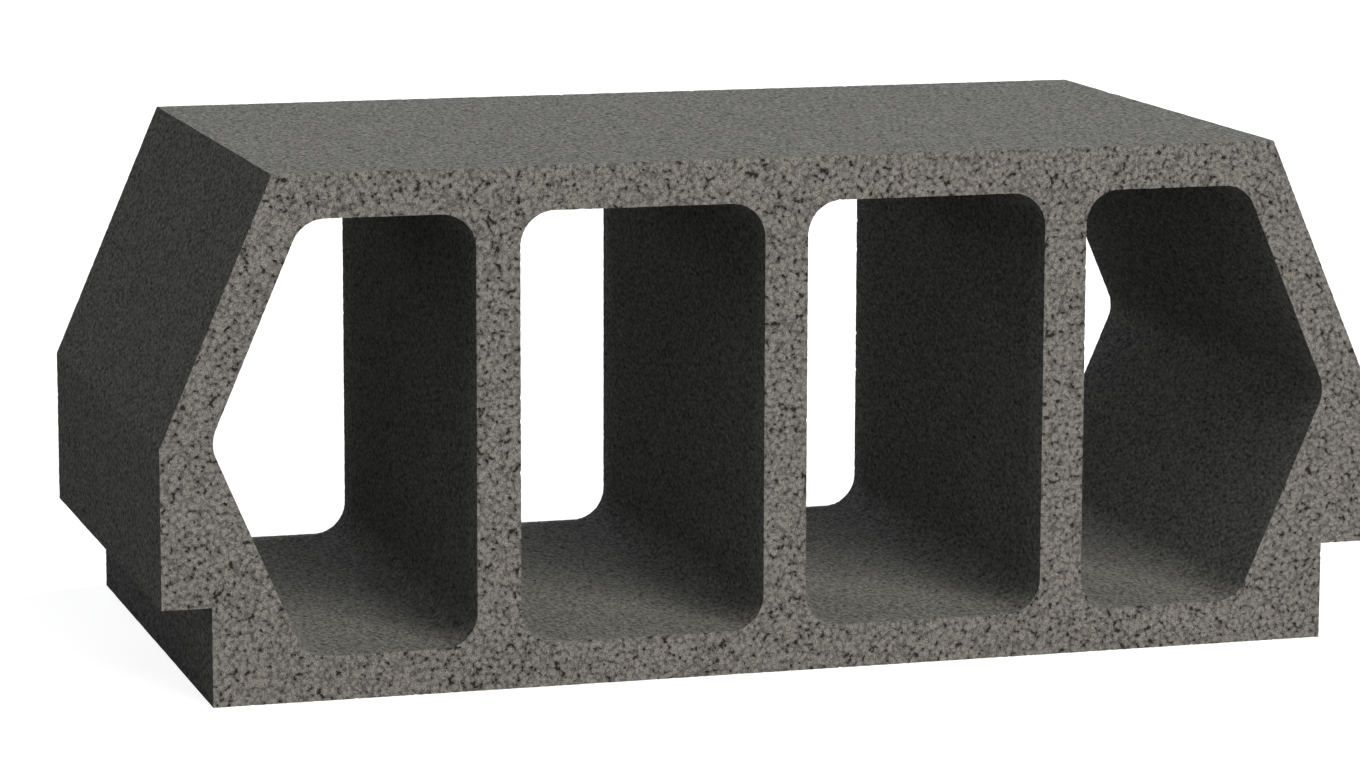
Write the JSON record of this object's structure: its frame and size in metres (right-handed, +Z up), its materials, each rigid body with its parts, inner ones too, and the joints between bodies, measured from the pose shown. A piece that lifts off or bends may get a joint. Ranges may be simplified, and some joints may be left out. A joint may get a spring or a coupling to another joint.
{
  "type": "concrete floor filler block",
  "caption": "Hollow cast concrete filler block for a rib-and-block floor: sloping flanks, bearing ledges along both sides and open cells running through it.",
  "frame": {"origin": "centre of the base, midway between the two open ends", "axes": "+X across the block towards one joist, +Y along the joists and through the cells, +Z up towards the topping"},
  "size_m": [0.51, 0.24, 0.21],
  "materials": {
    "concrete": "rough, open-textured, vibro-pressed concrete with small dark pores"
  },
  "bodies": {
    "root": {"filler_block": "concrete"}
  },
  "joints": []
}
